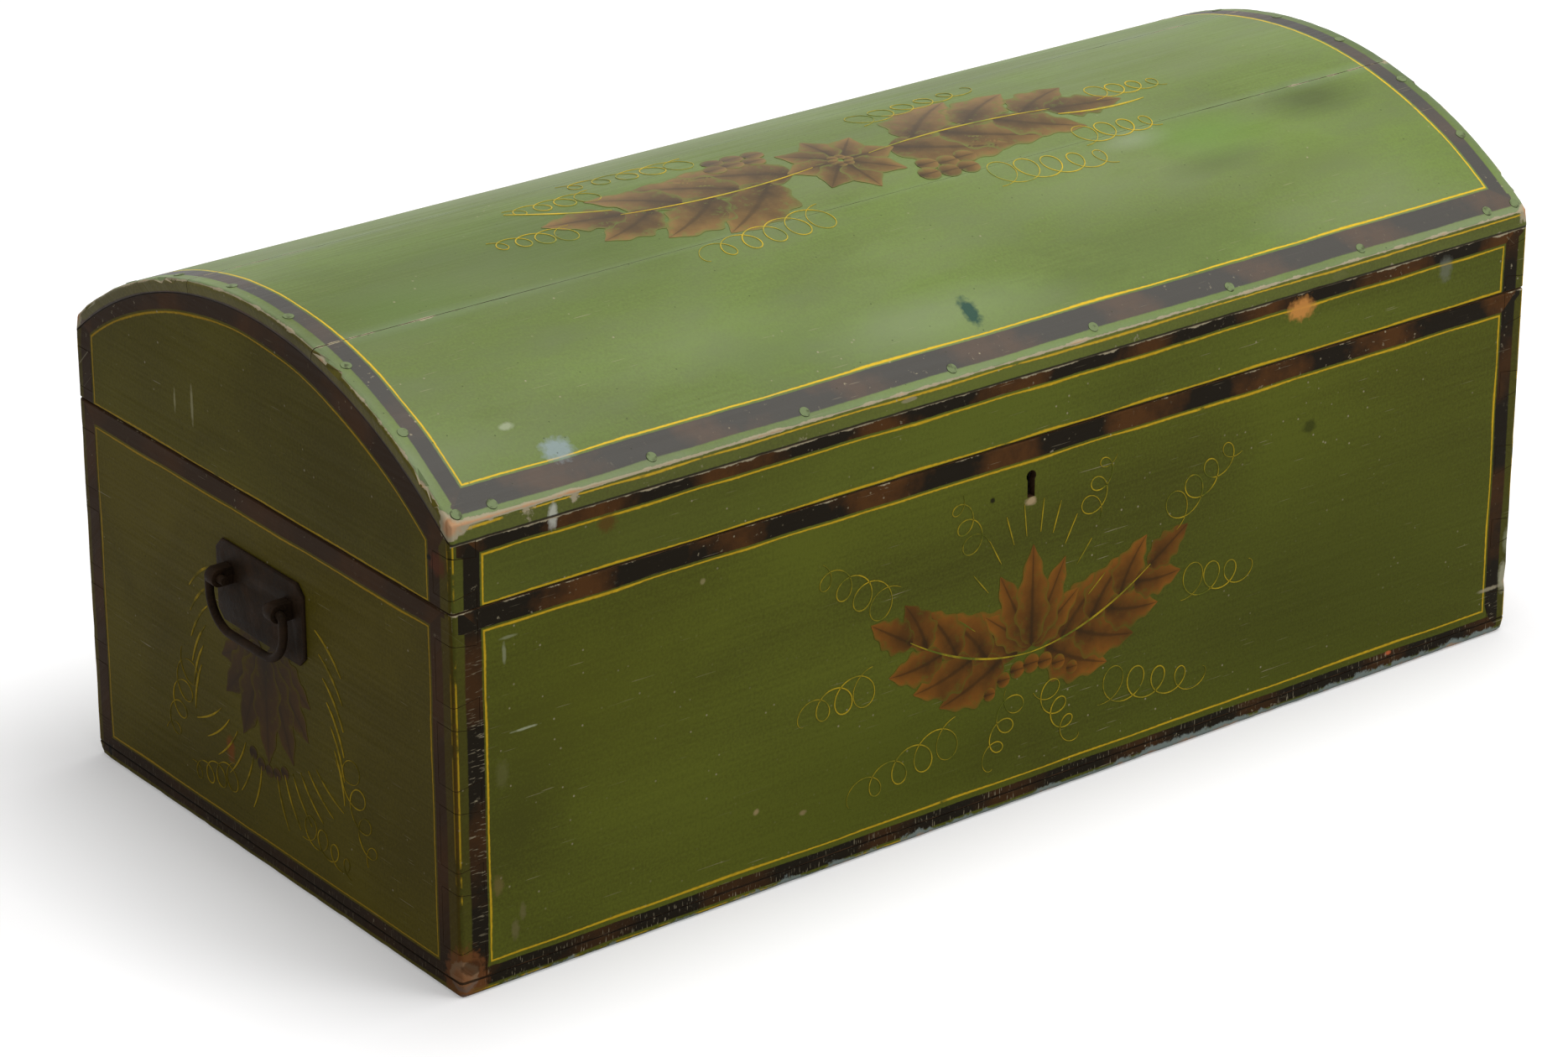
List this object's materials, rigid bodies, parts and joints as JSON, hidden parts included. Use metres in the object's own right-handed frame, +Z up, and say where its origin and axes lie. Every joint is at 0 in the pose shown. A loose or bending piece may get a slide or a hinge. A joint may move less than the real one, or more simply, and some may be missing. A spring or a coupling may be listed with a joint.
{
  "type": "dome-top box",
  "caption": "Painted wooden box with a hinged arched lid, dovetailed corners, a lock with a keyhole in front and an iron bail handle on each end, for papers and keepsakes.",
  "frame": {"origin": "on the floor, under the middle of the box", "axes": "+Z up, the front with the keyhole faces -Y, +X along the length to the right of someone facing the front"},
  "size_m": [0.7934, 0.3754, 0.336],
  "materials": {
    "painted_pine_case": "olive green oil paint, worn",
    "painted_pine_lid": "olive green oil paint, worn",
    "painted_pine_dome": "green oil paint, worn",
    "worn_pine_bottom": "bare and rubbed pine",
    "blackened_iron": "blackened wrought iron",
    "lock_iron": "filed sheet iron",
    "nail_iron": "dark iron"
  },
  "bodies": {
    "case": {"body_front_board": "painted_pine_case", "body_back_board": "painted_pine_case", "body_left_end": "painted_pine_case", "body_right_end": "painted_pine_case", "bottom_board": "worn_pine_bottom", "bottom_nails": "nail_iron", "left_hinge_case_leaf": "blackened_iron", "left_hinge_pin": "blackened_iron", "right_hinge_case_leaf": "blackened_iron", "right_hinge_pin": "blackened_iron", "hinge_case_screws": "nail_iron", "lock_plate": "lock_iron", "lock_cap": "lock_iron", "lock_pins": "lock_iron", "lock_spring": "lock_iron", "lock_screws": "nail_iron", "left_handle_plate": "blackened_iron", "left_handle_eyes": "blackened_iron", "right_handle_plate": "blackened_iron", "right_handle_eyes": "blackened_iron"},
    "lid": {"lid_front_rail": "painted_pine_lid", "lid_back_rail": "painted_pine_lid", "lid_left_end": "painted_pine_lid", "lid_right_end": "painted_pine_lid", "dome_front_board": "painted_pine_dome", "dome_middle_board": "painted_pine_dome", "dome_back_board": "painted_pine_dome", "dome_nails": "nail_iron", "left_hinge_lid_leaf": "blackened_iron", "right_hinge_lid_leaf": "blackened_iron", "hinge_lid_screws": "nail_iron", "link_plate": "lock_iron", "link_screws": "nail_iron"},
    "bolt": {"lock_bolt": "lock_iron"},
    "left_bail": {"left_bail": "blackened_iron"},
    "right_bail": {"right_bail": "blackened_iron"}
  },
  "joints": [
    {"name": "lid_hinge", "type": "hinge", "parent": "case", "child": "lid", "pos_m": [0, 0.1865, 0.222], "axis": [-1, 0, 0], "range_deg": [0, 180]},
    {"name": "left_bail_swing", "type": "hinge", "parent": "case", "child": "left_bail", "pos_m": [-0.3915, -0.0022, 0.1712], "axis": [0, 1, 0], "range_deg": [-8, 188]},
    {"name": "right_bail_swing", "type": "hinge", "parent": "case", "child": "right_bail", "pos_m": [0.3915, -0.0022, 0.1712], "axis": [0, -1, 0], "range_deg": [-8, 188]},
    {"name": "bolt_throw", "type": "slide", "parent": "case", "child": "bolt", "axis": [1, 0, 0], "range_m": [0, 0.009]}
  ]
}
